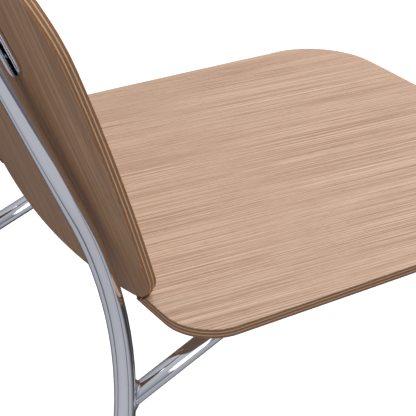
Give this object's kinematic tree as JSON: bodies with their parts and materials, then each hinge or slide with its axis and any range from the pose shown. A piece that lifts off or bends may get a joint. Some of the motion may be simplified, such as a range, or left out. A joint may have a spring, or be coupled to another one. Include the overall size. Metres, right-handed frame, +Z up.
{
  "type": "stacking chair",
  "caption": "Stacking chair with a flat oak ply seat and a curved oak ply backrest on a chromed bent-tube frame.",
  "frame": {"origin": "on the floor, under the middle of the chair's outline box", "axes": "+Z up, -Y to the front of the seat, +X to the sitter's left"},
  "size_m": [0.5926, 0.6674, 0.8204],
  "materials": {
    "oak_ply": "clear matt lacquer on oak veneer",
    "chrome_tube": "polished",
    "screw_steel": "zinc-plated",
    "insert_brass": "turned",
    "black_plastic": "fine matt"
  },
  "bodies": {
    "root": {"seat_panel": "oak_ply", "backrest_panel": "oak_ply", "rear_post_left": "chrome_tube", "rear_post_right": "chrome_tube", "front_leg_left": "chrome_tube", "front_leg_right": "chrome_tube", "cross_tube_rear": "chrome_tube", "cross_tube_front": "chrome_tube", "backrest_plate_left": "chrome_tube", "backrest_plate_right": "chrome_tube", "seat_tab_rear_left": "chrome_tube", "seat_tab_rear_right": "chrome_tube", "seat_tab_front_left": "chrome_tube", "seat_tab_front_right": "chrome_tube", "seat_screw_rear_left": "screw_steel", "seat_screw_rear_right": "screw_steel", "seat_screw_front_left": "screw_steel", "seat_screw_front_right": "screw_steel", "seat_insert_rear_left": "insert_brass", "seat_insert_rear_right": "insert_brass", "seat_insert_front_left": "insert_brass", "seat_insert_front_right": "insert_brass", "backrest_screw_upper_left": "screw_steel", "backrest_screw_upper_right": "screw_steel", "backrest_screw_lower_left": "screw_steel", "backrest_screw_lower_right": "screw_steel", "backrest_insert_upper_left": "insert_brass", "backrest_insert_upper_right": "insert_brass", "backrest_insert_lower_left": "insert_brass", "backrest_insert_lower_right": "insert_brass", "foot_glide_rear_left": "black_plastic", "foot_glide_rear_right": "black_plastic", "foot_glide_front_left": "black_plastic", "foot_glide_front_right": "black_plastic", "end_cap_left": "black_plastic", "end_cap_right": "black_plastic"}
  },
  "joints": []
}
